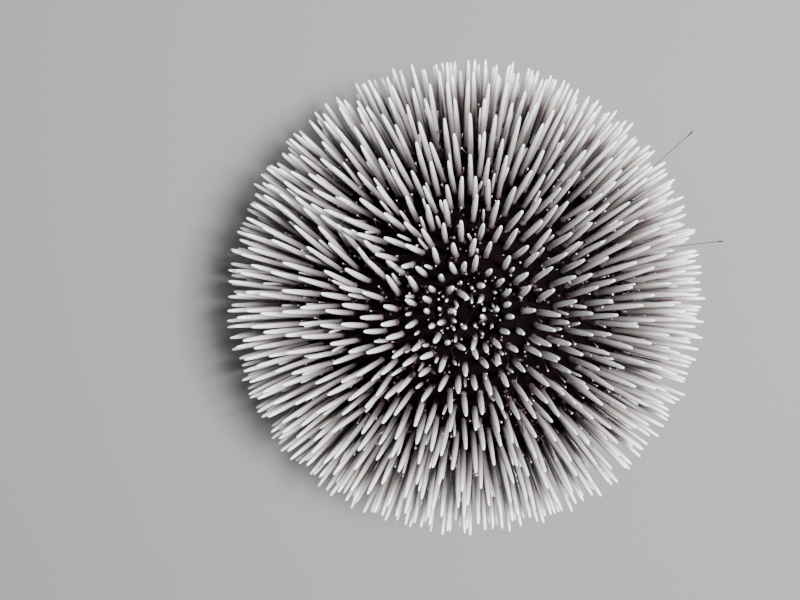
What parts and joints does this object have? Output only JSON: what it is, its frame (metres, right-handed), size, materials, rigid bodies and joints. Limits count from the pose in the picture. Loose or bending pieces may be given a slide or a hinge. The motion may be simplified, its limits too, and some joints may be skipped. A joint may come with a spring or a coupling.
{
  "type": "violet sea urchin",
  "caption": "Still life-size model of a violet sea urchin with white-tipped spines, resting on the spines of its underside.",
  "frame": {"origin": "on the floor, under the middle of the body's bounding box", "axes": "+Z from the mouth up to the apex, across the flattened body; +Y towards the top of the picture and +X to its right"},
  "size_m": [0.1352, 0.1351, 0.0795],
  "materials": {
    "test_and_spines": "dark violet shell with spines that turn from violet at the root to white",
    "apical_plates": "dark violet, finely grained",
    "membrane": "moist brown-violet skin",
    "teeth": "hard off-white"
  },
  "bodies": {
    "root": {"ambulacrum_1": "test_and_spines", "ambulacrum_2": "test_and_spines", "ambulacrum_3": "test_and_spines", "ambulacrum_4": "test_and_spines", "ambulacrum_5": "test_and_spines", "genital_plate_1": "apical_plates", "genital_plate_2": "apical_plates", "genital_plate_3": "apical_plates", "genital_plate_4": "apical_plates", "interambulacrum_1": "test_and_spines", "interambulacrum_2": "test_and_spines", "interambulacrum_3": "test_and_spines", "interambulacrum_4": "test_and_spines", "interambulacrum_5": "test_and_spines", "madreporite": "apical_plates", "ocular_plate_1": "apical_plates", "ocular_plate_2": "apical_plates", "ocular_plate_3": "apical_plates", "ocular_plate_4": "apical_plates", "ocular_plate_5": "apical_plates", "periproct": "apical_plates", "peristome": "membrane", "tooth_1": "teeth", "tooth_2": "teeth", "tooth_3": "teeth", "tooth_4": "teeth", "tooth_5": "teeth"}
  },
  "joints": []
}
